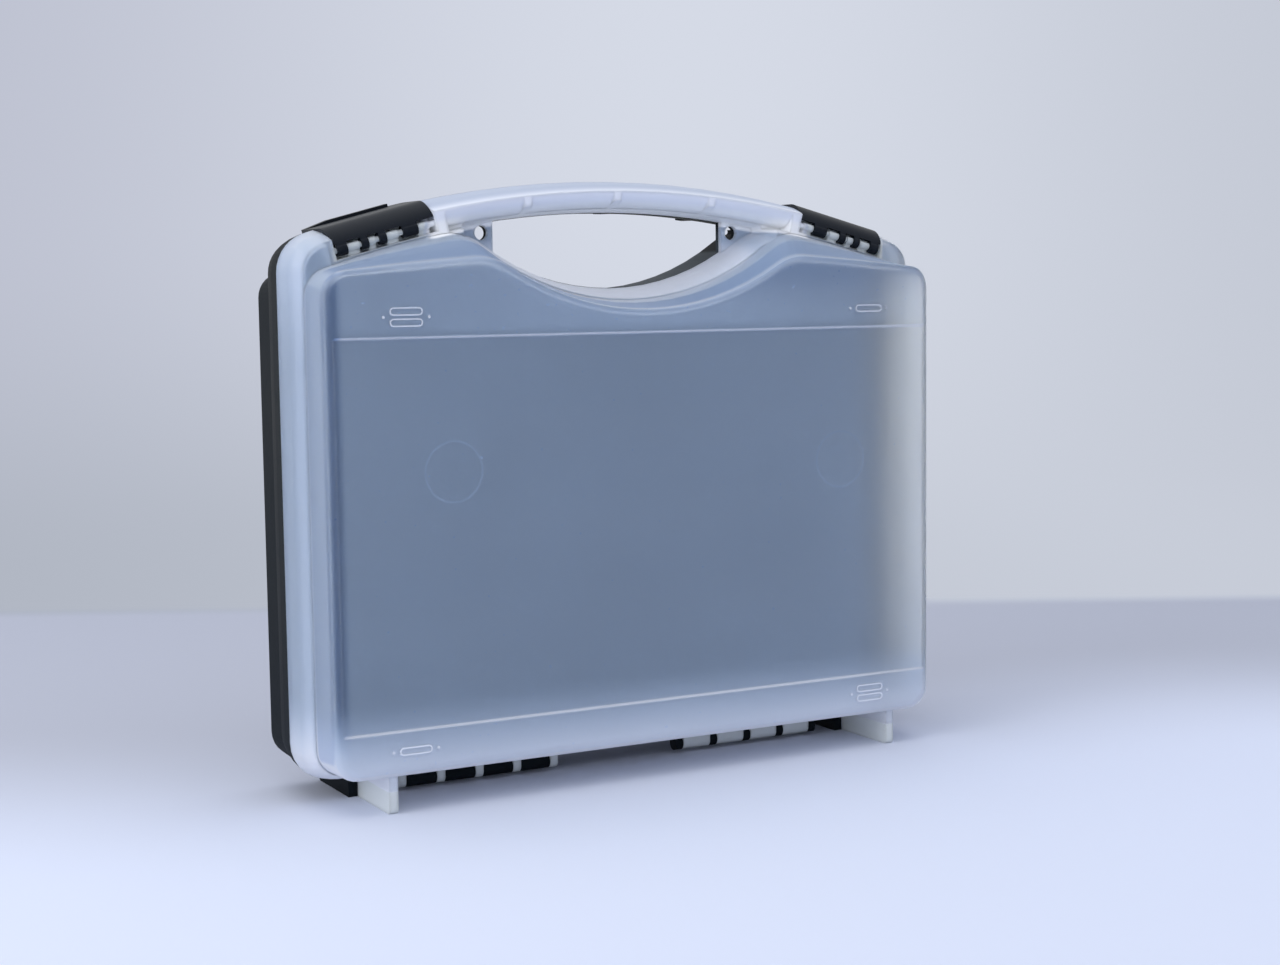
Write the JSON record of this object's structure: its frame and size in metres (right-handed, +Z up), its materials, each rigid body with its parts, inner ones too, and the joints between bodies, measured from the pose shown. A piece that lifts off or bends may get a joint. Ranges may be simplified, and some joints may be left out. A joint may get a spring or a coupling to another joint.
{
  "type": "hard plastic knife case",
  "caption": "Slim hinged hard case with a frosted lid, black base, bow grip, snap latches and knife-shaped foam pockets.",
  "frame": {"origin": "on the floor under the middle of the closed case, in its parting plane, with the case standing on its feet", "axes": "+X along the hinge towards the right of the lid's face, +Y from the lid to the base, +Z up to the grip"},
  "size_m": [0.34, 0.088, 0.289],
  "materials": {
    "black_plastic": "fine grained, black",
    "frosted_plastic": "frosted, milky, lets light through",
    "latch_plastic": "satin, black",
    "foam": "open cell foam, dull"
  },
  "bodies": {
    "base": {"base_shell": "black_plastic", "foam_tray": "foam", "foam_backing": "foam"},
    "lid": {"lid_shell": "frosted_plastic"},
    "left_latch": {"left_latch": "latch_plastic"},
    "right_latch": {"right_latch": "latch_plastic"}
  },
  "joints": [
    {"name": "lid_hinge", "type": "hinge", "parent": "base", "child": "lid", "pos_m": [0, 0, 0.005], "axis": [1, 0, 0], "range_deg": [0, 180]},
    {"name": "left_latch_pivot", "type": "hinge", "parent": "lid", "child": "left_latch", "pos_m": [-0.1244, -0.0176, 0.26161], "axis": [0.9671, 0, 0.2544], "range_deg": [0, 95]},
    {"name": "right_latch_pivot", "type": "hinge", "parent": "lid", "child": "right_latch", "pos_m": [0.1244, -0.0176, 0.26161], "axis": [0.9671, 0, -0.2544], "range_deg": [0, 95]}
  ]
}
